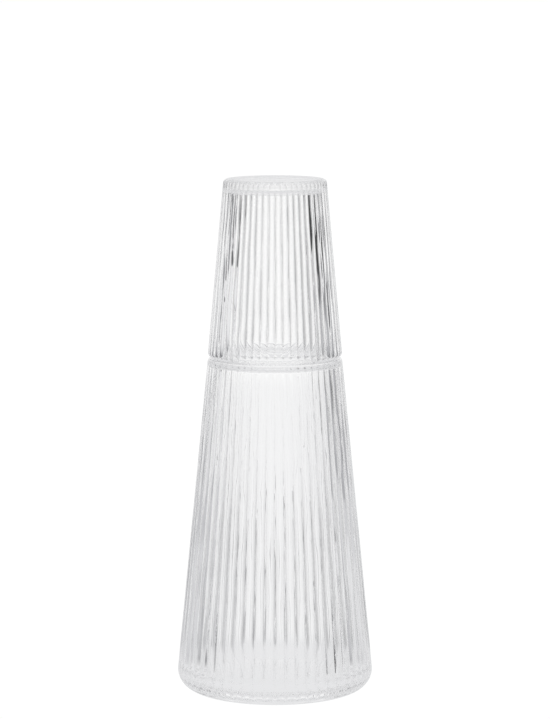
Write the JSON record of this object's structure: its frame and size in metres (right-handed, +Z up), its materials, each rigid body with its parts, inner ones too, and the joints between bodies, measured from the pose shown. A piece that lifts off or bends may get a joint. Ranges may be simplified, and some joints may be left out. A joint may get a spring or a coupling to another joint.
{
  "type": "bedside carafe with tumbler",
  "caption": "Clear ribbed glass carafe, a tapered body with a low collar at its mouth, covered by its own ribbed tumbler standing upside down on the shoulder.",
  "frame": {"origin": "on the common axis of both pieces, in the plane of the carafe's underside", "axes": "+Z up along the axis; both pieces are round, and -Y faces the viewer of the picture"},
  "size_m": [0.1098, 0.1098, 0.288],
  "materials": {
    "carafe_glass": "clear, fire polished, with upright ribs outside",
    "tumbler_glass": "clear, fire polished, with upright ribs outside"
  },
  "bodies": {
    "carafe_body": {"carafe": "carafe_glass"},
    "tumbler_body": {"tumbler": "tumbler_glass"}
  },
  "joints": [
    {"name": "tumbler_lift", "type": "slide", "parent": "carafe_body", "child": "tumbler_body", "axis": [0, 0, 1], "range_m": [0, 0.08]}
  ]
}
